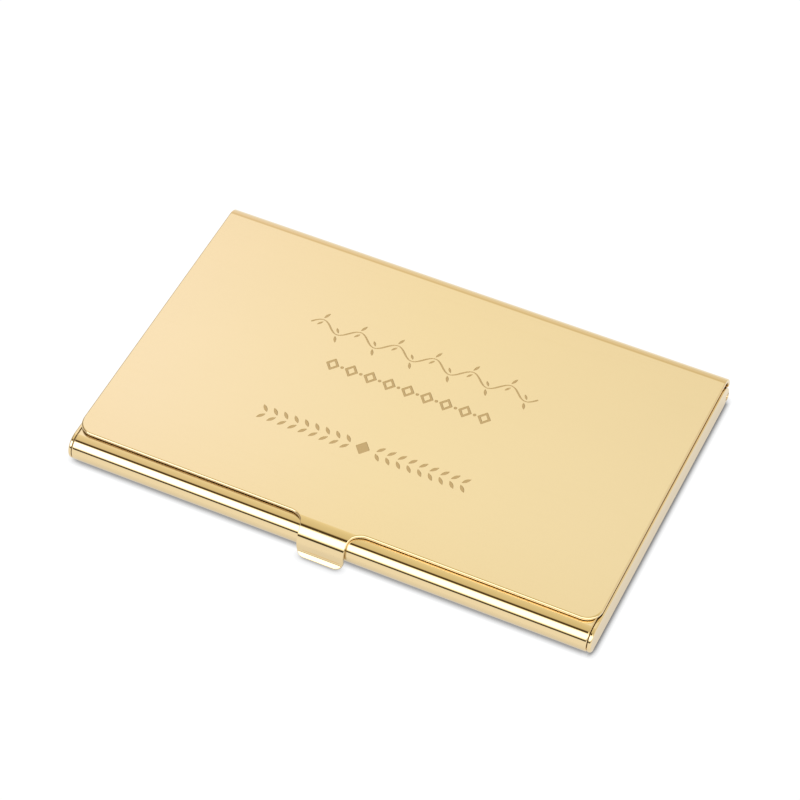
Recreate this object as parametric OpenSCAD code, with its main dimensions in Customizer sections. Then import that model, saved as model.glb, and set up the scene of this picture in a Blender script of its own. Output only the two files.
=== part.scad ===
// Slim folding case for business cards, made of thin polished sheet metal.
// X runs along the hinge, Y from the thumb lip (-Y) to the hinge (+Y), Z up.
// The origin is the middle of the underside of the closed case.

/* [Case] */
// Overall width of the closed case
case_w = 94; // [92:0.5:98]
// Depth from the front of the rail to the back of the lid
body_d = 60.8; // [60.2:0.1:64]
// Overall height of the closed case
case_h = 6; // [5.9:0.1:7]

/* [Sheet] */
// Thickness of the folded base sheet
base_t = 0.6; // [0.5:0.05:0.65]
// Thickness of the lid sheet
lid_t = 0.6; // [0.5:0.05:0.65]

/* [Lid] */
// How far each side of the lid stands inside the outer face of the wall below it
lid_inset = 0.25; // [0.15:0.05:0.3]
// Outer radius of the bend along the back of the lid
back_bend_r = 2.7; // [2.5:0.1:2.8]
// Height of the lower end of the full-width part of the back
back_drop_z = 2.7; // [2.7:0.05:2.9]
// Height of the lower end of the narrower tail between the walls
tail_z = 1.1; // [1.1:0.05:1.4]
// Gap between the tail and the rivet heads beside it
tail_gap = 0.25; // [0.2:0.05:0.6]
// Plan radius of the two front corners
lid_corner_r = 2.8; // [2:0.2:5]
// Distance from the front of the rail back to the edge of the lid
lid_setback = 2.85; // [2.65:0.05:3.2]

/* [Thumb tongue] */
// Width of the tongue that folds over the rail
tongue_w = 8.4; // [7:0.1:12]
// Plan radius that blends the tongue into the edge of the lid
tongue_blend_r = 2.7; // [1.5:0.1:3.2]
// Inner radius of the bend where the lip turns forwards
lip_bend_r = 0.6; // [0.5:0.05:0.8]
// Length of the flat of the lip
lip_l = 0.6; // [0.5:0.05:0.7]
// Height of the lowest point of the lip
lip_z = 0.1; // [0.05:0.05:0.3]
// Radius of the two lower corners of the tongue
lip_corner_r = 1.5; // [0.6:0.1:1.6]

/* [Front rail] */
// Gap between the rolled rail and the lid and tongue that wrap over it
rail_gap = 0.16; // [0.1:0.02:0.2]
// Width of the flat ledge behind the roll
ledge_d = 2.3; // [2:0.02:2.6]
// How far the walls stop below the top of the rail
wall_drop = 0.24; // [0.1:0.02:0.3]
// Width of the open seam between the rail and each wall
seam = 0.12; // [0.08:0.02:0.2]
// Outer radius of the fold between the floor and each wall
fold_r = 0.7; // [0.65:0.05:1]

/* [Hinge] */
// Distance from the back of the lid to the hinge line
hinge_inset = 1.6; // [1.56:0.01:1.6]
// Height of the hinge line
hinge_z = 1.75; // [1.75:0.01:1.8]
// Radius of the hinge rivets
rivet_r = 0.5; // [0.4:0.05:0.55]
// Radius of each rivet's countersunk outer head
rivet_head_r = 0.66; // [0.6:0.02:0.7]
// Radial clearance of the moving sheets on the rivets
rivet_play = 0.05; // [0.02:0.01:0.08]
// Thickness of the spacer washers
washer_t = 0.2; // [0.15:0.05:0.25]
// Depth of each hinge ear, front to back
ear_d = 3.6; // [3:0.1:5]
// Width of each ear's welded foot
ear_foot_w = 2.6; // [2:0.1:3.5]

/* [Card lifter] */
// Thickness of the lifter plate
lifter_t = 0.3; // [0.25:0.05:0.35]
// Height of the underside of the lifter plate
lifter_z = 0.85; // [0.8:0.01:0.9]
// Radius of the thumb notch in the front edge of the lifter
notch_r = 9; // [6:0.5:12]

/* [Lift spring] */
// Thickness of the leaf spring
spring_t = 0.18; // [0.12:0.01:0.18]
// Width of the leaf spring
spring_w = 7; // [5:0.5:10]
// Length of the leaf spring
spring_l = 30; // [20:1:36]

/* [Hidden] */
$fn = 96;
eps = 0.01;
gold = "#e6c878";
gold_inside = "#d9b45f";
steel = "#b9b9b4";

// The lip slopes as in a 3-4-5 triangle
lip_slope = asin(3 / 5);

// Depth positions along Y, with the lip's tip and the lid's back equally far from Y = 0
lip_reach = lip_bend_r * (1 - sin(lip_slope)) + lip_l * cos(lip_slope);
case_d = body_d + rail_gap + lid_t + lip_reach;
back_y = case_d / 2;
lid_under_z = case_h - lid_t;
rail_r = (lid_under_z - rail_gap) / 2;
rail_front_y = back_y - body_d;
rail_y = rail_front_y + rail_r;
ledge_back_y = rail_y + ledge_d;
lid_front_y = rail_front_y + lid_setback;
hinge_y = back_y - hinge_inset;

// Base: the walls stand just inside the back of the lid
wall_h = 2 * rail_r - wall_drop;
wall_in = case_w / 2 - base_t;
wall_gap = 0.14;
wall_back_y = back_y - lid_t - wall_gap;
wall_corner_r = 3.2;
wall_foot_r = 1.4;
floor_back_y = hinge_y - 1.16;
rail_half_w = wall_in - seam;

// Tongue: it wraps round the rail, then turns forwards into the lip
tongue_bend_r = rail_r + rail_gap + lid_t;
tongue_face_y = rail_y - tongue_bend_r;
lip_root_z = lip_z + (lip_bend_r + lid_t) * cos(lip_slope) + lip_l * sin(lip_slope);

// Hinge stack along X, from the wall inwards
washer_r = 1;
side_gap = 0.05;
ear_t = 0.6;
ear_out = wall_in - washer_t - side_gap;
ear_in = ear_out - ear_t;
ear_r = 1.1;
ear_foot_t = 0.4;
arm_gap = 0.4;
arm_out = ear_in - arm_gap;
arm_in = arm_out - lifter_t;
arm_r = 1.1;
arm_d = 7;
inner_head_r = 0.9;
inner_head_t = 0.35;
inner_head_x = arm_in - side_gap;
head_sink = 0.05;
head_depth = 0.16;
bore_r = rivet_r + rivet_play;
tail_half_w = inner_head_x - inner_head_t - tail_gap;

// Lifter and spring
lifter_front_y = ledge_back_y + 0.6;
lifter_back_y = hinge_y - 3.4;
lifter_corner_r = 2;
notch_inset = 4;
spring_back_y = 22;

// Sweeps a (Y, Z) outline along X, centred on X = 0
module sweep_x(width) {
    rotate([90, 0, 90])
        linear_extrude(width, center = true)
            children();
}

// Places a (Y, Z) outline as a plate from x to x + t
module plate_x(x, t) {
    translate([x, 0, 0])
        rotate([90, 0, 90])
            linear_extrude(t)
                children();
}

// A bent sheet in the (Y, Z) plane, from angle a to angle b, less than 180 degrees on
module bend(r_out, t, a, b) {
    far = 2 * r_out;
    mid = (a + b) / 2;
    intersection() {
        difference() {
            circle(r_out);
            circle(r_out - t);
        }
        polygon([[0, 0], [far * cos(a), far * sin(a)], [2 * far * cos(mid), 2 * far * sin(mid)],
                 [far * cos(b), far * sin(b)]]);
    }
}

// Rectangle given by its two opposite corners
module span(a, b) {
    translate([min(a[0], b[0]), min(a[1], b[1])])
        square([abs(b[0] - a[0]), abs(b[1] - a[1])]);
}

// Puts a left-hand piece (-X) on the right (+X) as its mirror image
module on_side(right) {
    mirror([right ? 1 : 0, 0, 0])
        children();
}

// Outline of a side wall: rolled at the front, well rounded at the back
module wall_outline() {
    translate([rail_y, wall_h / 2])
        circle(d = wall_h);
    span([rail_y, 0], [wall_back_y - wall_corner_r, wall_h]);
    translate([wall_back_y - wall_corner_r, wall_h - wall_corner_r])
        circle(wall_corner_r);
    span([wall_back_y - wall_corner_r, 0],
         [wall_back_y - wall_foot_r, wall_h - wall_corner_r]);
    span([wall_back_y - wall_foot_r, wall_foot_r],
         [wall_back_y, wall_h - wall_corner_r]);
    translate([wall_back_y - wall_foot_r, wall_foot_r])
        circle(wall_foot_r);
}

// Cross-section of the floor and of its front edge rolled into a rail
module rail_outline() {
    translate([rail_y, rail_r]) {
        bend(rail_r, base_t, 90, 180);
        bend(rail_r, base_t, 180, 270);
    }
    span([rail_y, wall_h - base_t], [ledge_back_y, wall_h]);
    span([rail_y, 0], [ledge_back_y, base_t]);
}

// (X, Z) outline of the folded tray: a U with rounded outer folds
module tray_section() {
    difference() {
        union() {
            for (side = [-1, 1])
                translate([side * (case_w / 2 - fold_r), fold_r])
                    circle(fold_r);
            span([-case_w / 2 + fold_r, 0], [case_w / 2 - fold_r, case_h]);
            span([-case_w / 2, fold_r], [case_w / 2, case_h]);
        }
        span([-wall_in, base_t], [wall_in, case_h + 1]);
    }
}

module base_tray() {
    color(gold) {
        difference() {
            intersection() {
                sweep_x(case_w)
                    wall_outline();
                translate([0, back_y, 0])
                    rotate([90, 0, 0])
                        linear_extrude(case_d)
                            tray_section();
            }
            // The floor stops short of the swinging tail and makes way for the rail
            translate([-wall_in, floor_back_y, -1])
                cube([2 * wall_in, case_d, case_h]);
            translate([-wall_in, -case_d, -1])
                cube([2 * wall_in, case_d + ledge_back_y - 1, case_h]);
            // Countersunk seats for the two rivets
            for (side = [-1, 1])
                translate([side * wall_in, hinge_y, hinge_z])
                    rotate([0, side * 90, 0])
                        rivet_seat();
        }
        sweep_x(2 * rail_half_w)
            rail_outline();
    }
}

// Hole and countersink in a wall, along +Z from the wall's inner face
module rivet_seat() {
    translate([0, 0, -1])
        cylinder(h = base_t + 2, r = rivet_r);
    translate([0, 0, base_t - head_sink - head_depth])
        cylinder(h = head_depth, r1 = rivet_r, r2 = rivet_head_r);
    translate([0, 0, base_t - head_sink - eps])
        cylinder(h = 1, r = rivet_head_r);
}

// (Y, Z) outline of the lid sheet: tail, back bend, top, tongue and lip
module lid_outline() {
    translate([back_y - back_bend_r, case_h - back_bend_r])
        bend(back_bend_r, lid_t, 0, 90);
    span([back_y - lid_t, tail_z], [back_y, case_h - back_bend_r]);
    span([rail_y, lid_under_z], [back_y - back_bend_r, case_h]);
    translate([rail_y, rail_r])
        bend(tongue_bend_r, lid_t, 90, 180);
    span([tongue_face_y, lip_root_z], [tongue_face_y + lid_t, rail_r]);
    translate([tongue_face_y - lip_bend_r, lip_root_z]) {
        bend(lip_bend_r + lid_t, lid_t, lip_slope - 90, 0);
        rotate(lip_slope)
            translate([-lip_l, -lip_bend_r - lid_t])
                square([lip_l, lid_t]);
    }
}

// Plan of the lid, with round front corners and the tongue blended into the edge
module lid_plan() {
    half_w = case_w / 2 - lid_inset;
    half_t = tongue_w / 2;
    blend = tongue_blend_r;
    for (side = [-1, 1])
        translate([side * (half_w - lid_corner_r), lid_front_y + lid_corner_r])
            circle(lid_corner_r);
    span([-half_w, lid_front_y + lid_corner_r], [half_w, back_y]);
    span([-half_w + lid_corner_r, lid_front_y], [half_w - lid_corner_r, back_y]);
    difference() {
        span([-half_t - blend, lid_front_y - blend], [half_t + blend, lid_front_y + eps]);
        for (side = [-1, 1])
            translate([side * (half_t + blend), lid_front_y - blend])
                circle(blend);
    }
    span([-half_t, -case_d], [half_t, lid_front_y]);
}

// Cuts that round the two lower corners of the tongue, seen from the front
module lip_corner_cuts() {
    for (side = [-1, 1])
        translate([side * (tongue_w / 2 - lip_corner_r), tongue_face_y + lid_t + eps,
                   lip_z + lip_corner_r])
            rotate([90, 0, 0])
                linear_extrude(case_d)
                    difference() {
                        span([0, 0], [side * 2 * lip_corner_r, -2 * lip_corner_r]);
                        circle(lip_corner_r);
                    }
}

module lid() {
    color(gold)
        difference() {
            intersection() {
                sweep_x(case_w)
                    lid_outline();
                linear_extrude(case_h)
                    lid_plan();
            }
            // Below the full-width part, only the tail is left between the walls
            for (side = [-1, 1])
                translate([side > 0 ? tail_half_w : -case_w, back_y - 2 * lid_t, 0])
                    cube([case_w - tail_half_w, 3 * lid_t, back_drop_z]);
            lip_corner_cuts();
        }
}

// (Y, Z) outline of a hinge ear, from the eye up to the lid
module ear_outline() {
    ear_front_y = back_y - lid_t - ear_d;
    difference() {
        union() {
            translate([hinge_y, hinge_z])
                circle(ear_r);
            span([hinge_y - ear_r, hinge_z], [back_y - lid_t, lid_under_z - back_bend_r]);
            span([ear_front_y, lid_under_z - back_bend_r],
                 [back_y - lid_t, case_h - back_bend_r]);
            span([ear_front_y, lid_under_z - back_bend_r],
                 [back_y - back_bend_r, lid_under_z]);
            translate([back_y - back_bend_r, case_h - back_bend_r])
                circle(back_bend_r - lid_t);
        }
        translate([hinge_y, hinge_z])
            circle(bore_r);
        span([back_y - lid_t, 0], [back_y + 1, case_h]);
    }
}

// A stamped angle: the ear stands on the rivet, its foot is welded under the lid
module hinge_ear(right) {
    color(gold_inside)
        on_side(right) {
            plate_x(-ear_out, ear_t)
                ear_outline();
            translate([-ear_in - eps, back_y - lid_t - ear_d, lid_under_z - ear_foot_t])
                cube([ear_foot_w + eps, ear_d - back_bend_r, ear_foot_t]);
        }
}

module hinge_ear_left() {
    hinge_ear(false);
}

module hinge_ear_right() {
    hinge_ear(true);
}

// Rivet along +X from the outside of the left wall, peened over inside
module hinge_rivet(right) {
    shank_l = case_w / 2 - head_sink - inner_head_x;
    color(gold)
        on_side(right)
            translate([-case_w / 2 + head_sink, hinge_y, hinge_z])
                rotate([0, 90, 0]) {
                    cylinder(h = shank_l + eps, r = rivet_r);
                    cylinder(h = head_depth, r1 = rivet_head_r, r2 = rivet_r);
                    translate([0, 0, shank_l])
                        cylinder(h = inner_head_t, r = inner_head_r);
                }
}

module hinge_rivet_left() {
    hinge_rivet(false);
}

module hinge_rivet_right() {
    hinge_rivet(true);
}

// Thin washer between a wall and the ear beside it
module spacer_washer(right) {
    color(steel)
        on_side(right)
            translate([-wall_in, hinge_y, hinge_z])
                rotate([0, 90, 0])
                    difference() {
                        cylinder(h = washer_t, r = washer_r);
                        translate([0, 0, -1])
                            cylinder(h = washer_t + 2, r = bore_r);
                    }
}

module spacer_washer_left() {
    spacer_washer(false);
}

module spacer_washer_right() {
    spacer_washer(true);
}

// (Y, Z) outline of the lifter's side arm, from the plate back to the rivet
module arm_outline() {
    difference() {
        union() {
            translate([hinge_y, hinge_z])
                circle(arm_r);
            span([hinge_y - arm_d, lifter_z], [hinge_y, hinge_z + arm_r]);
            span([hinge_y - arm_d - arm_r, lifter_z], [hinge_y - arm_d, hinge_z]);
            translate([hinge_y - arm_d, hinge_z])
                circle(arm_r);
        }
        translate([hinge_y, hinge_z])
            circle(bore_r);
        span([hinge_y - 2 * arm_d, 0], [hinge_y + arm_d, lifter_z]);
        translate([hinge_y, hinge_z - 2 * arm_r])
            span([0, 0], [arm_d, arm_r]);
    }
}

// Plan of the lifter plate with a thumb notch at the front
module lifter_plan() {
    difference() {
        union() {
            for (side = [-1, 1])
                translate([side * (arm_out - lifter_corner_r), lifter_front_y + lifter_corner_r])
                    circle(lifter_corner_r);
            span([-arm_out, lifter_front_y + lifter_corner_r], [arm_out, lifter_back_y]);
            span([-arm_out + lifter_corner_r, lifter_front_y],
                 [arm_out - lifter_corner_r, lifter_back_y]);
        }
        translate([0, lifter_front_y - notch_inset])
            circle(notch_r);
    }
}

module card_lifter() {
    color(gold_inside) {
        translate([0, 0, lifter_z])
            linear_extrude(lifter_t)
                lifter_plan();
        for (side = [-1, 1])
            plate_x(side > 0 ? arm_in : -arm_out, lifter_t)
                arm_outline();
    }
}

// Flat leaf on the floor; its back end is fixed, its front end bears on the lifter
module lift_spring() {
    color(steel)
        translate([0, 0, base_t])
            linear_extrude(spring_t)
                union() {
                    span([-spring_w / 2, spring_back_y - spring_l + spring_w / 2],
                         [spring_w / 2, spring_back_y]);
                    translate([0, spring_back_y - spring_l + spring_w / 2])
                        circle(spring_w / 2);
                }
}

base_tray();
lid();
hinge_ear_left();
hinge_ear_right();
hinge_rivet_left();
hinge_rivet_right();
spacer_washer_left();
spacer_washer_right();
card_lifter();
lift_spring();
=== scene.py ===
"""Looks of a slim folding business card case in polished, gold-coloured sheet metal.

Every sheet part is drawn as a flat pattern, folded along its bends and given rounded edges.
Sizes are in millimetres until a mesh is made; meshes are in metres, in the frame's axes.
"""

import math

import bpy
import numpy as np
from mathutils import Matrix, Vector
from mathutils.geometry import delaunay_2d_cdt


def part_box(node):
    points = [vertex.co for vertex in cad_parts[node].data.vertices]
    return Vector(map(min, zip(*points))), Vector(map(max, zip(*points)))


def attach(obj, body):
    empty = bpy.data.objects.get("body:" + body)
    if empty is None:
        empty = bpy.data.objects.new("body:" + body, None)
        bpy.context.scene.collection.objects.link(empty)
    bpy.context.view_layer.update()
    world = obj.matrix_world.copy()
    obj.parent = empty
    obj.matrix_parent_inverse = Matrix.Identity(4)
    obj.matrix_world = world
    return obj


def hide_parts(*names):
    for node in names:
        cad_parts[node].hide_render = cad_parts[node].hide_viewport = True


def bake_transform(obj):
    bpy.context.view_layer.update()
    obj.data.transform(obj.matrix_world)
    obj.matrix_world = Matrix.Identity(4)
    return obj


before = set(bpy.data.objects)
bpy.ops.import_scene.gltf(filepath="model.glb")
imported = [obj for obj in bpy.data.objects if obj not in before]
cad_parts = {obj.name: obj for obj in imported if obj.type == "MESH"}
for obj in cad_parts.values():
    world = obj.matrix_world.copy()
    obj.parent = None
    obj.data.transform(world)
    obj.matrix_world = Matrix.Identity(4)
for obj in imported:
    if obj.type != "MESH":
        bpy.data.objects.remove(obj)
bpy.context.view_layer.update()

MM = 0.001

# ---------------------------------------------------------------- sizes taken from the frame
lid_hi = Vector(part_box("lid")[1]) / MM
tray_lo, tray_hi = (Vector(v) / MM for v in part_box("base_tray"))
lifter_lo, lifter_hi = (Vector(v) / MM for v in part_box("card_lifter"))
spring_lo, spring_hi = (Vector(v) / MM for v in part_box("lift_spring"))
rivet_lo, rivet_hi = (Vector(v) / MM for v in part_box("hinge_rivet_left"))
washer_lo, washer_hi = (Vector(v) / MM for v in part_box("spacer_washer_left"))
ear_lo, ear_hi = (Vector(v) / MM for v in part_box("hinge_ear_left"))

HALF_W = tray_hi.x
LID_HALF_W = lid_hi.x
BACK_Y = lid_hi.y
CASE_H = lid_hi.z
LID_T = 0.6  # sheet thickness
BACK_R = 2.7  # bend along the hinge
TAIL_Z = 1.1  # lower end of the tail between the walls
BACK_DROP_Z = 2.7  # lower end of the full-width part of the back
TAIL_HALF_W = 44.2
LID_CORNER_R = 2.8
RAIL_R = tray_hi.z / 2
RAIL_FRONT_Y = tray_lo.y
RAIL_Y = RAIL_FRONT_Y + RAIL_R
LEDGE_D = 2.3  # flat behind the roll
LID_SETBACK = 2.85
LID_FRONT_Y = RAIL_FRONT_Y + LID_SETBACK
TONGUE_HALF_W = 4.2
TONGUE_BLEND_R = 2.7
TONGUE_R = CASE_H - RAIL_R
TONGUE_FACE_Y = RAIL_Y - TONGUE_R
LIP_R = 0.6
LIP_FLAT = 0.6
LIP_Z = 0.1
LIP_CORNER_R = 1.5
TRAY_T = 0.6
WALL_IN = HALF_W - TRAY_T
WALL_DROP = 0.24  # how far the walls stop below the top of the rail
WALL_H = tray_hi.z - WALL_DROP
WALL_R = WALL_H / 2
WALL_BACK_Y = tray_hi.y
SEAM = 0.12  # open seam between the rail and each wall
RAIL_HALF_W = WALL_IN - SEAM
FOLD_R = 0.7  # fold between the floor and each wall
WALL_CORNER_R = 3.2
WALL_FOOT_R = 1.4
HINGE_Y = (rivet_lo.y + rivet_hi.y) / 2
HINGE_Z = (rivet_lo.z + rivet_hi.z) / 2
FLOOR_SETBACK = 1.16
FLOOR_BACK_Y = HINGE_Y - FLOOR_SETBACK
BORE_R = 0.55  # holes that turn on the rivets


# ---------------------------------------------------------------- flat outlines
def fillet(corners, step_deg=7.5):
    """A closed loop through (x, y, radius) corners, each rounded with its own radius."""
    out = []
    n = len(corners)
    for i, (x, y, r) in enumerate(corners):
        p = np.array((x, y), float)
        a = np.array(corners[i - 1][:2], float) - p
        b = np.array(corners[(i + 1) % n][:2], float) - p
        a /= np.linalg.norm(a)
        b /= np.linalg.norm(b)
        opening = math.acos(max(-1.0, min(1.0, float(a @ b))))
        if r <= 0 or opening > math.pi - 1e-4:
            out.append(p)
            continue
        reach = r / math.tan(opening / 2)
        mid = (a + b) / np.linalg.norm(a + b)
        centre = p + mid * r / math.sin(opening / 2)
        start, end = p + a * reach - centre, p + b * reach - centre
        turn = math.pi - opening
        steps = max(2, int(math.ceil(math.degrees(turn) / step_deg)))
        sign = 1.0 if start[0] * end[1] - start[1] * end[0] > 0 else -1.0
        for k in range(steps + 1):
            t = sign * turn * k / steps
            c, s = math.cos(t), math.sin(t)
            out.append(centre + np.array((c * start[0] - s * start[1], s * start[0] + c * start[1])))
    return np.array(out)


def circle(x, y, r, n=32, phase=0.0):
    t = np.linspace(0, 2 * math.pi, n, endpoint=False) + phase
    return np.stack((x + r * np.cos(t), y + r * np.sin(t)), 1)


def cut_at(loop, axis, values):
    """Adds a point wherever the loop crosses one of the values along an axis."""
    out = []
    n = len(loop)
    for i in range(n):
        p, q = loop[i], loop[(i + 1) % n]
        out.append(p)
        lo, hi = sorted((p[axis], q[axis]))
        if hi - lo < 1e-9:
            continue
        crossed = [v for v in values if lo + 1e-4 < v < hi - 1e-4]
        ts = sorted((v - p[axis]) / (q[axis] - p[axis]) for v in crossed)
        out.extend(p + (q - p) * t for t in ts)
    return np.array(out)


def clean(loop):
    """The loop without points that repeat the one before."""
    return loop[np.linalg.norm(loop - np.roll(loop, 1, 0), axis=1) > 2e-3]


def area(loop):
    x, y = loop[:, 0], loop[:, 1]
    return 0.5 * float(np.sum(x * np.roll(y, -1) - y * np.roll(x, -1)))


def side_of(loop, index):
    """+1 or -1, so that outward() points away from the sheet: loop 0 is its rim, the others are holes."""
    return (1.0 if area(loop) > 0 else -1.0) * (1.0 if index == 0 else -1.0)


def outward(loop, sign):
    """Unit normals out of the sheet at each point, and the mitre length that keeps edges parallel."""
    d = np.roll(loop, -1, 0) - loop
    d /= np.linalg.norm(d, axis=1)[:, None]
    e = np.stack((d[:, 1], -d[:, 0]), 1) * sign
    m = e + np.roll(e, 1, 0)
    m /= np.linalg.norm(m, axis=1)[:, None]
    mitre = 1.0 / np.clip(np.sum(m * e, 1), 0.6, 1.0)
    return m, mitre


def inside(points, loops):
    """Even-odd test of 2D points against closed loops."""
    hit = np.zeros(len(points), bool)
    for loop in loops:
        a, b = loop, np.roll(loop, -1, 0)
        x, y = points[:, :1], points[:, 1:]
        cross = (a[:, 1] > y) != (b[:, 1] > y)
        dy = np.where(np.abs(b[:, 1] - a[:, 1]) < 1e-12, 1e-12, b[:, 1] - a[:, 1])
        at = a[:, 0] + (y - a[:, 1]) * (b[:, 0] - a[:, 0]) / dy
        hit ^= (np.sum(cross & (at > x), 1) % 2).astype(bool)
    return hit


def clearance(points, loops):
    """Distance of 2D points from the nearest loop edge."""
    best = np.full(len(points), 1e9)
    for loop in loops:
        a, b = loop, np.roll(loop, -1, 0)
        ab = b - a
        ap = points[:, None, :] - a[None]
        t = np.clip(np.sum(ap * ab, 2) / np.maximum(np.sum(ab * ab, 1), 1e-12), 0, 1)
        best = np.minimum(best, np.linalg.norm(ap - t[..., None] * ab, axis=2).min(1))
    return best


# ---------------------------------------------------------------- folded sheet meshes
class Sheet:
    """A sheet of metal: a flat pattern folded by a mapping, with rounded edges on both sides.

    fold(points) gives, for 2D points, the 3D points of the outer face, its normals and the
    directions of the two pattern axes.
    """

    def __init__(self, fold, thickness):
        self.fold, self.t = fold, thickness
        self.co, self.no, self.faces, self.mats = [], [], [], []

    def add(self, points, depth, tilt=None, out=None):
        """Vertices at a depth below the outer face; tilt leans their normals towards out."""
        surface, normal, tx, ty = self.fold(points)
        depth = np.broadcast_to(np.asarray(depth, float), (len(points),))
        co = surface - normal * depth[:, None]
        no = normal
        if tilt is not None:
            o = out[:, :1] * tx + out[:, 1:] * ty
            tilt = np.broadcast_to(np.asarray(tilt, float), (len(points),))
            no = normal * np.sin(tilt)[:, None] + o * np.cos(tilt)[:, None]
        start = sum(len(c) for c in self.co)
        self.co.append(co)
        self.no.append(no)
        return start + np.arange(len(points))

    def strip(self, a, b, mat):
        n = len(a)
        for i in range(n):
            j = (i + 1) % n
            self.faces.append((a[i], a[j], b[j], b[i]))
            self.mats.append(mat if isinstance(mat, int) else int(mat[i]))

    def cap(self, loops, ids, lines, depth, mat, flip):
        """Fills between loops whose vertices exist already, with extra points along fold lines.
        lines: (axis, value on it, from, to, spacing) of each row of extra points."""
        tilt = -math.pi / 2 if flip else math.pi / 2
        pts = np.concatenate(loops)
        idx = list(np.concatenate(ids))
        edges, base = [], 0
        for loop in loops:
            n = len(loop)
            edges += [(base + i, base + (i + 1) % n) for i in range(n)]
            base += n
        extra = []
        for axis, value, lo, hi, spacing in lines:
            count = max(2, int((hi - lo) / spacing) + 1)
            line = np.empty((count, 2))
            line[:, axis] = value
            line[:, 1 - axis] = np.linspace(lo, hi, count)
            good = inside(line, loops) & (clearance(line, loops) > 0.1)
            last = None
            for k in range(count):
                if not good[k]:
                    last = None
                    continue
                extra.append(line[k])
                here = len(pts) + len(extra) - 1
                if last is not None:
                    edges.append((last, here))
                last = here
        if extra:
            extra = np.array(extra)
            idx += list(self.add(extra, depth, tilt, np.zeros_like(extra)))
            pts = np.concatenate((pts, extra))
        out = delaunay_2d_cdt([Vector(p) for p in pts], edges, [], 0, 1e-7, True)
        verts, tris, origin = out[0], out[2], out[3]
        back = []
        for k, v in enumerate(verts):
            if origin[k]:
                back.append(idx[origin[k][0]])
            else:
                back.append(self.add(np.array([v[:]]), depth, tilt, np.zeros((1, 2)))[0])
        centre = np.array([[sum(verts[i][axis] for i in f) / 3 for axis in (0, 1)] for f in tris])
        for f, keep in zip(tris, inside(centre, loops)):
            if keep:
                self.faces.append(tuple(back[i] for i in f))
                self.mats.append(mat)

    def build(self, loops, r_out, r_in, lines=(), recesses=(), mats=(0, 1, 2), steps=5, cut=None):
        """loops: outer loop first, then holes. r_out and r_in: edge radii on the outer and inner face,
        one for all, or a list with one entry per loop, each one number or one per point.
        recesses: (loops, depth, width of the sloping side) of each engraved region.
        mats: material of the outer face, the inner face and the recesses.
        cut: first edge strip of the lower part of the edges that takes another material, and that material
        at each point; on the lid this paints shade and a highlight on the front edge."""
        def edge_radius(r, k):
            return np.broadcast_to(np.asarray(r[k] if isinstance(r, list) else r, float), (len(loops[k]),))

        tops, top_ids, lows, low_ids = [], [], [], []
        for k, loop in enumerate(loops):
            o, mitre = outward(loop, side_of(loop, k))
            ro, ri = edge_radius(r_out, k), edge_radius(r_in, k)
            rings = []
            for j in range(steps + 1):
                a = math.pi / 2 * (1 - j / steps)
                inset = ro * (1 - math.cos(a))
                q = loop - o * (inset * mitre)[:, None]
                rings.append(self.add(q, ro * (1 - math.sin(a)), a, o))
                if j == 0:
                    tops.append(q)
                    top_ids.append(rings[-1])
            for j in range(steps + 1):
                a = math.pi / 2 * j / steps
                inset = ri * (1 - math.cos(a))
                q = loop - o * (inset * mitre)[:, None]
                rings.append(self.add(q, self.t - ri * (1 - math.sin(a)), -a, o))
            lows.append(q)
            low_ids.append(rings[-1])
            for i, (a, b) in enumerate(zip(rings, rings[1:])):
                self.strip(a, b, cut[1] if cut and i >= cut[0] else mats[0])
        for region, depth, slope in recesses:
            floors, floor_ids = [], []
            for k, loop in enumerate(region):
                o, mitre = outward(loop, side_of(loop, k))
                rim = self.add(loop, 0.0)
                q1 = loop - o * (0.5 * slope * mitre)[:, None]
                wall = self.add(q1, 0.5 * depth, math.radians(50), -o)
                q2 = loop - o * (slope * mitre)[:, None]
                foot = self.add(q2, depth)
                self.strip(rim, wall, mats[2])
                self.strip(wall, foot, mats[2])
                tops.append(loop)
                top_ids.append(rim)
                floors.append(q2)
                floor_ids.append(foot)
            self.cap(floors, floor_ids, (), depth, mats[2], False)
        self.cap(tops, top_ids, lines, 0.0, mats[0], False)
        self.cap(lows, low_ids, lines, self.t, mats[1], True)
        return self

    def object(self, name, materials):
        co = np.concatenate(self.co)
        no = np.concatenate(self.no)
        no /= np.linalg.norm(no, axis=1)[:, None]
        faces = []
        for f in self.faces:
            p = co[list(f)]
            m = no[list(f)].sum(0)
            c = np.zeros(3)
            for i in range(1, len(f) - 1):
                c += np.cross(p[i] - p[0], p[i + 1] - p[0])
            faces.append(f if c @ m > 0 else tuple(reversed(f)))
        return mesh_object(name, co, no, faces, self.mats, materials)


def mesh_object(name, co, no, faces, mats, materials):
    mesh = bpy.data.meshes.new(name)
    mesh.from_pydata([tuple(c * MM) for c in co], [], [tuple(int(i) for i in f) for f in faces])
    for m in materials:
        mesh.materials.append(m)
    mesh.polygons.foreach_set("material_index", np.array(mats, np.int32))
    mesh.polygons.foreach_set("use_smooth", np.ones(len(faces), bool))
    mesh.update()
    mesh.normals_split_custom_set_from_vertices([tuple(n) for n in no])
    obj = bpy.data.objects.new(name, mesh)
    bpy.context.scene.collection.objects.link(obj)
    return obj


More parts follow.
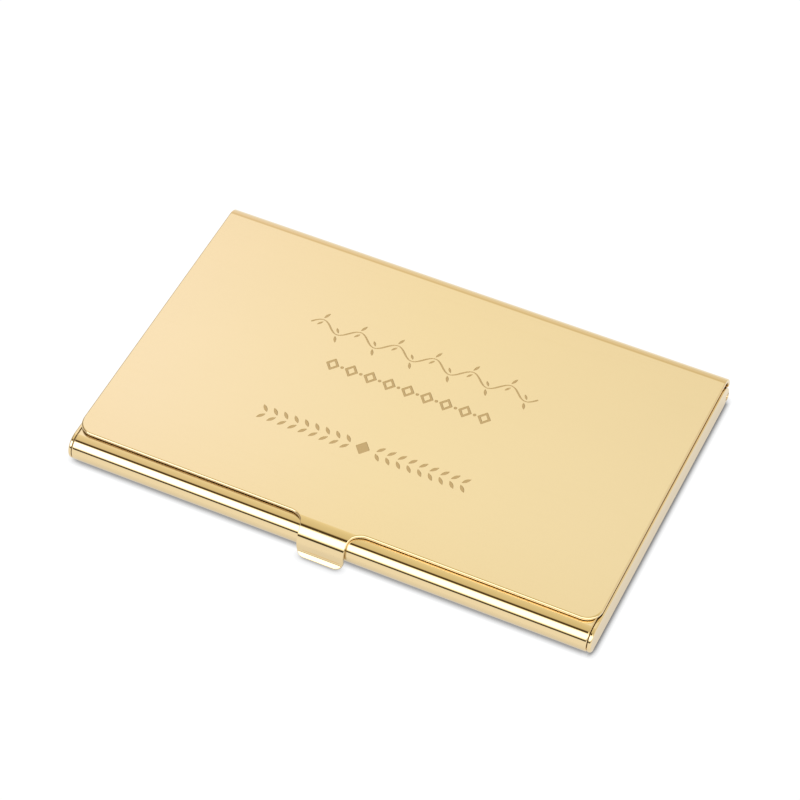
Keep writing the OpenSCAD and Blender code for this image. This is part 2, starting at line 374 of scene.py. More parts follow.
def profile_fold(segments):
    """A fold about the X axis. segments are arcs and straights of an outer face in (Y, Z):
    ("line", length, (y, z), (dy, dz), (ny, nz)) or
    ("arc", length, centre, surface radius, start angle, signed turn per mm, normal sign)."""
    starts = np.concatenate(([0.0], np.cumsum([s[1] for s in segments])))

    def fold(points):
        n = len(points)
        surface = np.zeros((n, 3))
        normal = np.zeros((n, 3))
        ty = np.zeros((n, 3))
        s = points[:, 1]
        which = np.clip(np.searchsorted(starts, s, side="right") - 1, 0, len(segments) - 1)
        surface[:, 0] = points[:, 0]
        for k, seg in enumerate(segments):
            m = which == k
            if not m.any():
                continue
            d = s[m] - starts[k]
            if seg[0] == "line":
                start, along, facing = seg[2:]
                surface[m, 1] = start[0] + d * along[0]
                surface[m, 2] = start[1] + d * along[1]
                normal[m, 1:] = facing
                ty[m, 1:] = along
            else:
                centre, radius, start_angle, rate, side = seg[2:]
                a = start_angle + rate * d
                surface[m, 1] = centre[0] + radius * np.cos(a)
                surface[m, 2] = centre[1] + radius * np.sin(a)
                normal[m, 1] = side * np.cos(a)
                normal[m, 2] = side * np.sin(a)
                turn = 1.0 if rate > 0 else -1.0
                ty[m, 1] = -turn * np.sin(a)
                ty[m, 2] = turn * np.cos(a)
        tx = np.zeros((n, 3))
        tx[:, 0] = 1
        return surface, normal, tx, ty

    return fold, starts


# ---------------------------------------------------------------- node helpers
def nodes_of(owner):
    """The cleared node tree of a material or world."""
    owner.use_nodes = True
    owner.node_tree.nodes.clear()
    return owner.node_tree


def new(nt, kind, x=0, y=0, **props):
    n = nt.nodes.new(kind)
    n.location = (x, y)
    for k, v in props.items():
        setattr(n, k, v)
    return n


def noise(nt, vector, scale, detail, x=0, y=0):
    n = new(nt, "ShaderNodeTexNoise", x, y)
    n.inputs["Scale"].default_value = scale
    n.inputs["Detail"].default_value = detail
    nt.links.new(vector, n.inputs["Vector"])
    return n.outputs["Fac"]


def map_range(nt, value, source, target=(0.0, 1.0), x=0, y=0, curve="LINEAR"):
    n = new(nt, "ShaderNodeMapRange", x, y, interpolation_type=curve)
    for name, v in zip(("From Min", "From Max", "To Min", "To Max"), (*source, *target)):
        n.inputs[name].default_value = v
    nt.links.new(value, n.inputs["Value"])
    return n.outputs[0]


def mix(nt, factor, a, b, x=0, y=0, **props):
    """Mixes two sockets or values."""
    n = new(nt, "ShaderNodeMix", x, y, **props)
    for name, v in (("Factor", factor), ("A", a), ("B", b)):
        if isinstance(v, bpy.types.NodeSocket):
            nt.links.new(v, n.inputs[name])
        else:
            n.inputs[name].default_value = v
    return n.outputs["Result"]


def ramp(nt, value, stops, x=0, y=0):
    """A colour ramp through (position, colour) stops."""
    n = new(nt, "ShaderNodeValToRGB", x, y)
    el = n.color_ramp.elements
    el[0].position, el[1].position = stops[0][0], stops[-1][0]
    for position, _ in stops[1:-1]:
        el.new(position)
    for e, (_, colour) in zip(sorted(el, key=lambda e: e.position), stops):
        e.color = (*colour, 1)
    nt.links.new(value, n.inputs["Fac"])
    return n.outputs[0]


def bump(nt, height, distance, normal=None, x=0, y=0, invert=False):
    n = new(nt, "ShaderNodeBump", x, y, invert=invert)
    n.inputs["Strength"].default_value = 1.0
    n.inputs["Distance"].default_value = distance
    nt.links.new(height, n.inputs["Height"])
    if normal:
        nt.links.new(normal, n.inputs["Normal"])
    return n.outputs[0]


def seen_or_not(nt, seen, other, x, y):
    """One shader for the camera and another for every other ray."""
    path = new(nt, "ShaderNodeLightPath", x - 300, y + 400)
    n = new(nt, "ShaderNodeMixShader", x, y)
    nt.links.new(path.outputs["Is Camera Ray"], n.inputs[0])
    nt.links.new(other, n.inputs[1])
    nt.links.new(seen, n.inputs[2])
    return n.outputs[0]


# ---------------------------------------------------------------- materials
CLOUDS = 70  # noise cells per metre of the soft clouds in the polish
SPECKLE = 2600
ROLLS = 130  # of the rolling waviness
ROLL_DEPTH = 0.0000012  # metres
GROOVE_DEPTH = 0.0000006
SCRATCH_ANGLES = (0.35, 1.9)
SCRATCH_CELLS = (60, 9000, 60)  # per metre: long one way, hair-thin the other


def metal(name, colour, rough, spread, scratch=1.0, wave=1.0, grain=None, shade=(0.97, 1.0), painted_light_fade=None):
    """Polished or satin metal: soft waviness, hairline scratches and a faintly uneven polish.

    grain: (cells per metre, depth in metres) of a matt texture. shade: darkest and lightest share of
    the colour. painted_light_fade: (from x, to x, colour), a painted highlight that takes over from one X
    position to another.
    """
    mat = bpy.data.materials.new(name)
    nt = nodes_of(mat)
    link = nt.links.new
    out = new(nt, "ShaderNodeOutputMaterial", 900, 0)
    bsdf = new(nt, "ShaderNodeBsdfPrincipled", 600, 0)
    link(bsdf.outputs[0], out.inputs[0])
    bsdf.inputs["Metallic"].default_value = 1.0
    place = new(nt, "ShaderNodeTexCoord", -1200, 0).outputs["Object"]
    # uneven polish: large soft clouds and fine speckle
    cloud = noise(nt, place, CLOUDS, 3, -900, 300)
    speck = noise(nt, place, SPECKLE, 2, -900, 60)
    uneven = mix(nt, 0.35, cloud, speck, -650, 200, data_type="FLOAT")
    polish = map_range(nt, uneven, (0.3, 0.7), (rough - spread, rough + spread), -400, 200)
    # hairline scratches: very long, thin noise in two directions
    scratches = []
    for k, angle in enumerate(SCRATCH_ANGLES):
        turn = new(nt, "ShaderNodeMapping", -1000, -300 - 250 * k)
        turn.inputs["Rotation"].default_value = (0.0, 0.0, angle)
        turn.inputs["Scale"].default_value = SCRATCH_CELLS
        link(place, turn.inputs["Vector"])
        line = noise(nt, turn.outputs[0], 1.0, 1, -800, -300 - 250 * k)
        scratches.append(map_range(nt, line, (0.66, 0.8), x=-600, y=-300 - 250 * k))
    both = new(nt, "ShaderNodeMath", -400, -350, operation="MAXIMUM")
    link(scratches[0], both.inputs[0])
    link(scratches[1], both.inputs[1])
    scuffed = new(nt, "ShaderNodeMath", -150, 100, operation="MULTIPLY_ADD")
    scuffed.inputs[1].default_value = 0.06 * scratch
    link(both.outputs[0], scuffed.inputs[0])
    link(polish, scuffed.inputs[2])
    link(scuffed.outputs[0], bsdf.inputs["Roughness"])
    # colour: a little deeper where the polish is uneven
    dark, light = ((*[c * k for c in colour], 1) for k in shade)
    tone = mix(nt, uneven, dark, light, 150, 300, data_type="RGBA")
    # painted highlight: from one X position to another the colour turns to a lighter one, in place of
    # light falling on that part
    if painted_light_fade:
        from_x, to_x, bright = painted_light_fade
        xyz = new(nt, "ShaderNodeSeparateXYZ", -100, 600)
        link(place, xyz.inputs[0])
        reach = map_range(nt, xyz.outputs["X"], (from_x * MM, to_x * MM), x=100, y=600)
        tone = mix(nt, reach, tone, (*bright, 1), 350, 450, data_type="RGBA")
    link(tone, bsdf.inputs["Base Color"])
    # relief: rolling waviness, scratch grooves and the grain
    relief = bump(nt, noise(nt, place, ROLLS, 1, -650, -900), ROLL_DEPTH * wave, x=0, y=-500)
    relief = bump(nt, both.outputs[0], GROOVE_DEPTH * scratch, relief, 250, -400, invert=True)
    if grain:
        fine = noise(nt, place, grain[0], 4, -650, -1200)
        relief = bump(nt, fine, grain[1], relief, 400, -700)
    link(relief, bsdf.inputs["Normal"])
    return mat


GOLD = (0.93, 0.733, 0.42)
polished = metal("polished_gold", GOLD, 0.045, 0.015)
inner = metal("inner_gold", (0.86, 0.65, 0.36), 0.16, 0.04, scratch=2.0, wave=2.0)
engraved = metal("engraved_gold", (0.70, 0.52, 0.27), 0.34, 0.05, scratch=0.0, wave=0.0,
                 grain=(6000, 0.000006), shade=(0.9, 1.0))
# lid's lower front edge: painted shade (dark, in place of the shadow under the lid's edge) turning into a
# painted highlight from x -4 mm to 14 mm
painted_edge_shade = metal("lid_edge_painted_shade_and_highlight", (0.36, 0.29, 0.18), 0.14, 0.04, scratch=2.0, wave=2.0,
                painted_light_fade=(-4.0, 14.0, (0.93, 0.80, 0.55)))
brass = metal("stamped_brass", (0.80, 0.58, 0.30), 0.22, 0.05, scratch=3.0, wave=3.0)
rivet_mat = metal("rivet_brass", (0.84, 0.63, 0.35), 0.15, 0.04)
steel = metal("spring_steel", (0.62, 0.61, 0.58), 0.2, 0.05, scratch=3.0, wave=2.0)

# ---------------------------------------------------------------- lid
LIP_SLOPE = math.asin(3 / 5)
LIP_ROOT_Z = LIP_Z + (LIP_R + LID_T) * math.cos(LIP_SLOPE) + LIP_FLAT * math.sin(LIP_SLOPE)
lip_turn = math.pi / 2 - LIP_SLOPE
# from the lower end of the tail, up the back, over the top and down the tongue to the tip of the lip
lid_segments = [
    ("line", CASE_H - BACK_R - TAIL_Z, (BACK_Y, TAIL_Z), (0, 1), (1, 0)),
    ("arc", BACK_R * math.pi / 2, (BACK_Y - BACK_R, CASE_H - BACK_R), BACK_R, 0.0, 1 / BACK_R, 1),
    ("line", BACK_Y - BACK_R - RAIL_Y, (BACK_Y - BACK_R, CASE_H), (-1, 0), (0, 1)),
    ("arc", TONGUE_R * math.pi / 2, (RAIL_Y, RAIL_R), TONGUE_R, math.pi / 2, 1 / TONGUE_R, 1),
    ("line", RAIL_R - LIP_ROOT_Z, (TONGUE_FACE_Y, RAIL_R), (0, -1), (-1, 0)),
    ("arc", LIP_R * lip_turn, (TONGUE_FACE_Y - LIP_R, LIP_ROOT_Z), LIP_R, 0.0, -1 / LIP_R, -1),
    ("line", LIP_FLAT,
     (TONGUE_FACE_Y - LIP_R + LIP_R * math.sin(LIP_SLOPE), LIP_ROOT_Z - LIP_R * math.cos(LIP_SLOPE)),
     (-math.cos(LIP_SLOPE), -math.sin(LIP_SLOPE)), (-math.sin(LIP_SLOPE), math.cos(LIP_SLOPE))),
]
lid_fold, lid_s = profile_fold(lid_segments)
s_end = lid_s[-1]
s_front = lid_s[2] + BACK_Y - BACK_R - LID_FRONT_Y
s_step = BACK_DROP_Z - TAIL_Z


def spaced(a, b, n):
    return list(np.linspace(a, b, n + 1))


def smoothed(values, times):
    """Values round a loop, each averaged with its neighbours."""
    for _ in range(times):
        values = 0.25 * np.roll(values, 1) + 0.5 * values + 0.25 * np.roll(values, -1)
    return values


back_rows = spaced(lid_s[1], lid_s[2], 24)
tongue_rows = spaced(lid_s[3], lid_s[4], 32) + spaced(lid_s[5], lid_s[6], 10)
hw, tw = LID_HALF_W, TONGUE_HALF_W
right_half = [
    (TAIL_HALF_W, 0.0, 0.8), (TAIL_HALF_W, s_step, 0.4), (hw, s_step, 0.6),
    (hw, s_front, LID_CORNER_R), (tw, s_front, TONGUE_BLEND_R), (tw, s_end, LIP_CORNER_R),
]
lid_corners = right_half + [(-x, s, r) for x, s, r in reversed(right_half)]
lid_loop = clean(cut_at(fillet(lid_corners, 4.0), 1, back_rows + tongue_rows))
lid_lines = [(1, s, -hw, hw, 4.0) for s in back_rows] + [(1, s, -hw, hw, 1.0) for s in tongue_rows]


def on_lid(x, y):
    """Pattern position of a point on the flat of the lid."""
    return (x, lid_s[2] + (BACK_Y - BACK_R) - y)


def lid_region(loops):
    return [clean(np.array([on_lid(x, y) for x, y in loop])) for loop in loops]


def stroke(points, widths):
    """Closed outline of a stroke of varying width with round ends."""
    p = np.array(points, float)
    w = np.array(widths, float) / 2
    t = np.gradient(p, axis=0)
    t /= np.linalg.norm(t, axis=1)[:, None]
    nrm = np.stack((-t[:, 1], t[:, 0]), 1)
    left = p + nrm * w[:, None]
    right = (p - nrm * w[:, None])[::-1]

    def round_end(i, side):
        a0 = math.atan2(side * nrm[i][1], side * nrm[i][0])
        turns = a0 - np.linspace(0.5, math.pi - 0.5, 4)
        return [p[i] + w[i] * np.array((math.cos(a), math.sin(a))) for a in turns]

    return np.concatenate((left, round_end(-1, 1), right, round_end(0, -1)))


def leaf(x, y, length, width, angle, n=9):
    """Almond-shaped leaf from its stem point."""
    t = np.linspace(0, 1, n)
    half = width / 2 * np.sin(math.pi * t) ** 0.8
    half[0] = half[-1] = 0.02
    up = np.stack((t * length, half), 1)
    down = np.stack((t * length, -half), 1)[::-1]
    pts = np.concatenate((up, down))
    c, s = math.cos(angle), math.sin(angle)
    return pts @ np.array(((c, s), (-s, c))) + (x, y)


def lozenge(x, y, rx, ry, r=0.12):
    return fillet([(x + rx, y, r), (x, y + ry, r), (x - rx, y, r), (x, y - ry, r)], 20)


VINE_WAVES = 6
VINE_RISE = 1.1


def vine_row(x0, y0, length):
    """A hairline vine with two small leaves at each crest."""
    xs = np.linspace(-length / 2, length / 2, 169)
    wave = VINE_WAVES * 2 * math.pi / length
    ys = y0 + VINE_RISE * np.sin((xs - xs[0]) * wave)
    widths = 0.2 + 0.12 * np.cos((xs - xs[0]) * wave) ** 2
    out = [[stroke(np.stack((xs + x0, ys), 1), widths)]]
    for k in range(2 * VINE_WAVES):
        x = xs[0] + length * (k + 0.5) / (2 * VINE_WAVES)
        up = 1 if k % 2 == 0 else -1
        y = y0 + up * VINE_RISE
        out.append([leaf(x + x0 - 0.15, y + up * 0.36, 1.5, 0.5, up * 1.15)])
        out.append([leaf(x + x0 + 0.1, y - up * 0.42, 1.25, 0.42, -up * 2.2)])
    return out


def lozenge_row(x0, y0, length, count=9):
    """Outlined lozenges with dots between them."""
    out = []
    for k in range(count):
        x = x0 - length / 2 + length * (k + 0.5) / count
        out.append([lozenge(x, y0, 1.25, 1.45), lozenge(x, y0, 0.62, 0.78, 0.06)])
        if k < count - 1:
            out.append([circle(x + length / count / 2, y0, 0.3, 14)])
    return out


def leaf_row(x0, y0, length, pairs=9):
    """Pairs of slanted leaves that open out from a central lozenge."""
    out = [[lozenge(x0, y0, 1.3, 1.5)]]
    for side in (-1, 1):
        for k in range(pairs):
            x = x0 + side * (2.4 + (length / 2 - 3.6) * k / (pairs - 1))
            for up in (-1, 1):
                angle = up * 0.85 if side > 0 else math.pi - up * 0.85
                out.append([leaf(x, y0 + up * 0.22, 1.75, 0.62, angle)])
    return out


ENGRAVED_DEPTH = 0.05
regions = vine_row(-1.2, 11.6, 42.0) + lozenge_row(-0.6, 4.2, 31.5) + leaf_row(-2.0, -10.2, 38.0)
# the hairline of the vine has steeper sides than the rest
recesses = [(lid_region(r), ENGRAVED_DEPTH, 0.09 if k else 0.05) for k, r in enumerate(regions)]

# edge radii of the outer face: the front is the most rounded, the sides less and the tongue least
FRONT_EDGE_R, SIDE_EDGE_R, TONGUE_EDGE_R = 0.34, 0.2, 0.14
along = lid_loop[:, 1]
front = along > s_front - LID_CORNER_R
tongue = along > lid_s[3] + 1.0
lid_edge = smoothed(np.where(tongue, TONGUE_EDGE_R, np.where(front, FRONT_EDGE_R, SIDE_EDGE_R)), 3)
lid_under = np.where(lid_edge > 0.3, 0.2, 0.12)
# the lower part of the lid's front edge takes the material with painted shade and highlight
painted_edge_at = np.where(front, 3, 0)
lid = Sheet(lid_fold, LID_T).build(
    [lid_loop], [lid_edge], [lid_under], lid_lines, recesses, steps=7, cut=(6, painted_edge_at)).object(
    "lid_sheet", [polished, inner, engraved, painted_edge_shade])
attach(lid, "lid")
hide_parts("lid")

# ---------------------------------------------------------------- tray: floor, rail and walls
ARC = RAIL_R * math.pi
FOLD_LEN = FOLD_R * math.pi / 2
FOLD_X = HALF_W - FOLD_R
v_ledge = RAIL_Y - ARC


def tray_fold(points):
    n = len(points)
    u, v = points[:, 0], points[:, 1]
    surface = np.stack((u, v, np.zeros(n)), 1)
    normal = np.tile((0.0, 0.0, -1.0), (n, 1))
    tx = np.tile((1.0, 0.0, 0.0), (n, 1))
    ty = np.tile((0.0, 1.0, 0.0), (n, 1))
    side = np.abs(u) > FOLD_X - 0.005
    roll = (~side) & (v < RAIL_Y)
    d = RAIL_Y - v[roll]
    a = -math.pi / 2 - np.minimum(d, ARC) / RAIL_R
    rest = np.maximum(d - ARC, 0)
    surface[roll, 1] = RAIL_Y + RAIL_R * np.cos(a) + rest
    surface[roll, 2] = RAIL_R + RAIL_R * np.sin(a)
    normal[roll] = np.stack((0 * a, np.cos(a), np.sin(a)), 1)
    ty[roll] = np.stack((0 * a, -np.sin(a), np.cos(a)), 1)
    sg = np.sign(u[side])
    w = np.maximum(np.abs(u[side]) - FOLD_X, 0)
    b = np.minimum(w, FOLD_LEN) / FOLD_R
    rest = np.maximum(w - FOLD_LEN, 0)
    surface[side, 0] = sg * (FOLD_X + FOLD_R * np.sin(b))
    surface[side, 2] = FOLD_R * (1 - np.cos(b)) + rest
    normal[side] = np.stack((sg * np.sin(b), 0 * b, -np.cos(b)), 1)
    tx[side] = np.stack((np.cos(b), 0 * b, sg * np.sin(b)), 1)
    return surface, normal, tx, ty


def wall_u(z):
    """Pattern distance from the centre for a height on the wall."""
    z = np.maximum(z, 0)
    low = FOLD_R * np.arccos(np.clip(1 - z / FOLD_R, -1, 1))
    return FOLD_X + np.where(z < FOLD_R, low, FOLD_LEN + z - FOLD_R)


def wall_edge():
    """Free edge of the right wall in the pattern, from the rail seam round to the floor."""
    out = []
    for a in np.linspace(270, 90, 61)[1:]:
        t = math.radians(a)
        out.append((float(wall_u(WALL_R + WALL_R * math.sin(t))), RAIL_Y + WALL_R * math.cos(t)))
    r = WALL_CORNER_R
    for a in np.linspace(90, 0, 21):
        t = math.radians(a)
        out.append((float(wall_u(WALL_H - r + r * math.sin(t))), WALL_BACK_Y - r + r * math.cos(t)))
    r = WALL_FOOT_R
    for a in np.linspace(0, -90, 21)[:-1]:
        t = math.radians(a)
        out.append((float(wall_u(r + r * math.sin(t))), WALL_BACK_Y - r + r * math.cos(t)))
    return out


RELIEF = 0.35  # corner cut at the back of each fold
FOOT_X = FOLD_X + 0.12
tray_right = ([(RAIL_HALF_W, RAIL_Y - 0.03)] + wall_edge()[1:]
              + [(FOOT_X, WALL_BACK_Y - WALL_FOOT_R), (FOOT_X, FLOOR_BACK_Y + RELIEF),
                 (FOLD_X - RELIEF, FLOOR_BACK_Y)])
flap = fillet([(RAIL_HALF_W, RAIL_Y - 1.0, 0), (RAIL_HALF_W, v_ledge - LEDGE_D, 0.35),
               (-RAIL_HALF_W, v_ledge - LEDGE_D, 0.35), (-RAIL_HALF_W, RAIL_Y - 1.0, 0)])
tray_loop = np.concatenate((flap, [(-x, y) for x, y in tray_right], tray_right[::-1]))
roll_rows = spaced(RAIL_Y, v_ledge, 48)
fold_cols = [FOLD_X + FOLD_LEN * k / 8 for k in range(9)]
tray_loop = clean(cut_at(cut_at(tray_loop, 1, roll_rows), 0, fold_cols + [-c for c in fold_cols]))

# the walls' top edges are well rounded, the ends of the rail a little less, all other edges sharp
across, along = np.abs(tray_loop[:, 0]), tray_loop[:, 1]
WALL_EDGE_R, BACK_EDGE_R, RAIL_END_R, SHARP_R = 0.34, 0.12, 0.28, 0.1
near_back = along > WALL_BACK_Y - WALL_CORNER_R - 0.4
on_wall = across > FOLD_X + 0.005
on_rail = across < RAIL_HALF_W + 0.005
edge_r = np.where(on_wall, np.where(near_back, BACK_EDGE_R, WALL_EDGE_R), SHARP_R)
edge_r = smoothed(edge_r, 4)
edge_r = np.where(on_rail, np.minimum(edge_r, SHARP_R), edge_r)
edge_r = np.where(on_rail & (along < RAIL_Y - 0.5), RAIL_END_R, edge_r)
hinge_u = float(wall_u(np.array(HINGE_Z)))
SEAT_R = 0.68  # holes for the rivet heads
seats = [circle(hinge_u, HINGE_Y, SEAT_R, 40), circle(-hinge_u, HINGE_Y, SEAT_R, 40)]
tray_lines = ([(1, v, -RAIL_HALF_W, RAIL_HALF_W, 4.0) for v in roll_rows]
              + [(0, s * c, RAIL_Y - 2, WALL_BACK_Y, 2.0) for c in fold_cols for s in (-1, 1)])
tray = Sheet(tray_fold, TRAY_T).build([tray_loop] + seats, [edge_r, 0.05, 0.05], [0.08, 0.05, 0.05],
                                      tray_lines).object("tray_sheet", [polished, inner])
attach(tray, "base")
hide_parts("base_tray")


# ---------------------------------------------------------------- rivets and washers
def revolve(name, profile, centre, sign, material, n=40):
    """Turns a closed (along the axis, radius) outline about an axis parallel to X.

    centre is for the right side of the case; sign is 1 there and -1 on the left.
    """
    o, _ = outward(profile, 1.0 if area(profile) > 0 else -1.0)
    co, no, faces = [], [], []
    m = len(profile)
    for k in range(n):
        c, s = math.cos(2 * math.pi * k / n), math.sin(2 * math.pi * k / n)
        for (x, r), (ox, o_r) in zip(profile, o):
            co.append((sign * (centre[0] + x), centre[1] + r * c, centre[2] + r * s))
            no.append((sign * ox, o_r * c, o_r * s))
    co, no = np.array(co), np.array(no)
    for k in range(n):
        for i in range(m):
            j = (i + 1) % m
            a, b = k * m, ((k + 1) % n) * m
            f = (a + i, a + j, b + j, b + i)
            q = co[list(f)]
            facing = np.cross(q[2] - q[0], q[3] - q[1])
            if np.linalg.norm(facing) < 1e-7:
                continue
            faces.append(f[::-1] if facing @ no[list(f)].sum(0) < 0 else f)
    return mesh_object(name, co, no, faces, [0] * len(faces), [material])


RIVET_R = 0.5
HEAD_R = 0.66
HEAD_DEPTH = 0.17
PIN_R = 0.06  # narrow bore along the axis, which closes the turned outline
INNER_HEAD_T = 0.35
rivet_len = rivet_hi.x - rivet_lo.x
inner_r = (rivet_hi.z - rivet_lo.z) / 2
shank_end = rivet_len - INNER_HEAD_T
# countersunk outer head with a hollow in it, shank, domed inner head
rivet_outline = clean(fillet([
    (rivet_len, PIN_R, 0.0), (0.34, PIN_R, 0.0), (0.3, 0.3, 0.08), (0.0, 0.42, 0.05), (0.0, HEAD_R, 0.05),
    (HEAD_DEPTH, RIVET_R, 0.08), (shank_end, RIVET_R, 0.06), (shank_end, inner_r, 0.07),
    (rivet_len - 0.14, inner_r - 0.05, 0.15), (rivet_len, 0.5 * inner_r, 0.3)], 20))
WASHER_T = 0.2
washer_r = washer_hi.z - HINGE_Z
washer_outline = clean(fillet([(0, BORE_R, 0.03), (0, washer_r, 0.05), (WASHER_T, washer_r, 0.05),
                               (WASHER_T, BORE_R, 0.03)], 20))
for label, sign in (("left", -1), ("right", 1)):
    rivet = revolve("rivet_" + label, rivet_outline * (-1, 1), (-rivet_lo.x, HINGE_Y, HINGE_Z),
                    sign, rivet_mat)
    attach(rivet, "base")
    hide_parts("hinge_rivet_" + label)
    washer = revolve("washer_" + label, washer_outline * (-1, 1), (-washer_lo.x, HINGE_Y, HINGE_Z),
                     sign, steel)
    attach(washer, "base")
    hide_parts("spacer_washer_" + label)

# ---------------------------------------------------------------- hinge ears
EAR_T = 0.5
EAR_BEND = 0.5
ear_top = ear_hi.z
bend_at = ear_top - EAR_BEND
bend_len = EAR_BEND * math.pi / 2
foot_end = bend_at + bend_len + (ear_hi.x - ear_lo.x) - EAR_BEND


def ear_fold(sign):
    """The ear's pattern runs up the upright leg, then inwards along the foot under the lid."""
    def fold(points):
        u, v = points[:, 0], points[:, 1]
        b = np.clip(u - bend_at, 0, bend_len) / EAR_BEND
        rest = np.maximum(u - bend_at - bend_len, 0)
        x = ear_lo.x + EAR_BEND * (1 - np.cos(b)) + rest
        z = np.minimum(u, bend_at) + EAR_BEND * np.sin(b)
        zero = np.zeros_like(b)
        surface = np.stack((-sign * x, v, z), 1)
        normal = np.stack((sign * np.cos(b), zero, np.sin(b)), 1)
        tx = np.stack((-sign * np.sin(b), zero, np.cos(b)), 1)
        return surface, normal, tx, np.tile((0.0, 1.0, 0.0), (len(points), 1))
    return fold


ear_front, ear_back = ear_lo.y, ear_hi.y - 0.03
foot_y = BACK_Y - BACK_R - 0.6
ear_low = ear_lo.z
ear_corners = [
    (2.7, ear_front, 0.3), (foot_end, ear_front, 0.3), (foot_end, foot_y, 0.3),
    (bend_at - 0.05, foot_y, 0.12), (bend_at - 0.05, foot_y + 1.1, 0.5),
    (bend_at - 0.75, ear_back - 0.55, 0.9), (3.0, ear_back, 0.9),
    (ear_low, ear_back, 0.9), (ear_low, HINGE_Y - 1.1, 1.0), (2.7, HINGE_Y - 1.1, 0.35),
]
bend_cols = spaced(bend_at, bend_at + bend_len, 6)
ear_loop = clean(cut_at(fillet(ear_corners, 10), 0, bend_cols))
ear_lines = [(0, c, ear_front, foot_y, 0.3) for c in bend_cols]
for label, sign in (("left", -1), ("right", 1)):
    ear = Sheet(ear_fold(sign), EAR_T).build(
        [ear_loop, circle(HINGE_Z, HINGE_Y, BORE_R, 28)], 0.1, 0.06, ear_lines,
        mats=(0, 0, 0), steps=3).object("ear_" + label, [brass])
    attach(ear, "lid")
    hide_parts("hinge_ear_" + label)

# ---------------------------------------------------------------- card lifter
LIFTER_T = 0.3
ARM_BEND = 0.5
ARM_FROM_Y = 21.0
lifter_w = lifter_hi.x
arm_x = lifter_w - ARM_BEND
arm_len = ARM_BEND * math.pi / 2
LIFTER_Z = lifter_lo.z


def lifter_fold(points):
    u, v = points[:, 0], points[:, 1]
    side = (np.abs(u) > arm_x - 1e-6) & (v > ARM_FROM_Y)
    sg = np.sign(u)
    w = np.where(side, np.abs(u) - arm_x, 0.0)
    b = np.clip(w, 0, arm_len) / ARM_BEND
    rest = np.maximum(w - arm_len, 0)
    x = np.where(side, sg * (arm_x + ARM_BEND * np.sin(b)), u)
    z = LIFTER_Z + ARM_BEND * (1 - np.cos(b)) + rest
    zero = np.zeros_like(b)
    surface = np.stack((x, v, z), 1)
    normal = np.stack((sg * np.sin(b), zero, -np.cos(b)), 1)
    tx = np.stack((np.cos(b), zero, sg * np.sin(b)), 1)
    return surface, normal, tx, np.tile((0.0, 1.0, 0.0), (len(points), 1))


def arm_u(z):
    return arm_x + arm_len + z - LIFTER_Z - ARM_BEND


NOTCH_R = 9.0
NOTCH_BACK = 4.0  # how far the notch's centre lies in front of the plate
notch_y = lifter_lo.y - NOTCH_BACK
notch_angle = math.asin(NOTCH_BACK / NOTCH_R)
plate_back_y = HINGE_Y - 3.4
arm_top = arm_u(lifter_hi.z)
arm_front_y = ARM_FROM_Y + 0.45
SLOT_Y = 20.4  # front of the slot that frees each arm's fold from the plate
side_corners = [
    (lifter_w - 0.05, lifter_lo.y, 2.0), (lifter_w - 0.05, SLOT_Y, 0.3), (arm_x - 0.25, SLOT_Y, 0.2),
    (arm_x - 0.25, arm_front_y, 0.2), (arm_top, arm_front_y, 1.0), (arm_top, lifter_hi.y, 1.05),
    (arm_x + 0.4, lifter_hi.y, 0.9), (arm_x + 0.4, plate_back_y, 0.4),
]
notch = [(NOTCH_R * math.cos(a), notch_y + NOTCH_R * math.sin(a), 0)
         for a in np.linspace(math.pi - notch_angle, notch_angle, 41)]
arm_cols = spaced(arm_x, arm_x + arm_len, 6)
plate_loop = fillet(notch + side_corners + [(-x, y, r) for x, y, r in reversed(side_corners)], 8)
plate_loop = clean(cut_at(plate_loop, 0, arm_cols + [-c for c in arm_cols]))
eye_u = arm_u(HINGE_Z)
arm_lines = [(0, s * c, arm_front_y, lifter_hi.y, 0.6) for c in arm_cols for s in (-1, 1)]
plate = Sheet(lifter_fold, LIFTER_T).build(
    [plate_loop, circle(eye_u, HINGE_Y, BORE_R, 28), circle(-eye_u, HINGE_Y, BORE_R, 28)], 0.09, 0.09,
    arm_lines, mats=(0, 0, 0), steps=3).object("lifter_plate", [brass])
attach(plate, "lifter")
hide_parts("card_lifter")

# ---------------------------------------------------------------- leaf spring
spring_top, spring_t = spring_hi.z, spring_hi.z - spring_lo.z
spring_w = spring_hi.x


def flat_fold(points):
    n = len(points)
    surface = np.stack((points[:, 0], points[:, 1], np.full(n, spring_top)), 1)
    return (surface, np.tile((0.0, 0.0, 1.0), (n, 1)), np.tile((1.0, 0.0, 0.0), (n, 1)),
            np.tile((0.0, 1.0, 0.0), (n, 1)))


tip = [(spring_w * math.cos(a), spring_lo.y + spring_w + spring_w * math.sin(a))
       for a in np.linspace(0, -math.pi, 33)]
root = fillet([(-spring_w, spring_hi.y, 0.8), (spring_w, spring_hi.y, 0.8), (spring_w, spring_hi.y - 2, 0),
               (-spring_w, spring_hi.y - 2, 0)], 15)
spring_rows = spaced(spring_lo.y + 0.5, spring_hi.y - 0.5, 58)
leaf_loop = np.array(tip + [tuple(q) for q in root if q[1] > spring_hi.y - 1.9])
leaf_loop = clean(cut_at(leaf_loop, 1, spring_rows))
spring_lines = [(1, y, -spring_w, spring_w, 0.9) for y in spring_rows]
welds = [([circle(x, spring_hi.y - y, 0.55, 20)], 0.05, 0.16) for x in (-1.9, 1.9) for y in (1.4, 3.6)]
spring = Sheet(flat_fold, spring_t).build([leaf_loop], 0.04, 0.04, spring_lines, welds,
                                          mats=(0, 0, 0), steps=2).object("leaf_spring", [steel])
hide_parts("lift_spring")
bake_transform(spring)

# ---------------------------------------------------------------- floor
SHADOW_REACH = 1.15
WIDE_REACH = 5.0
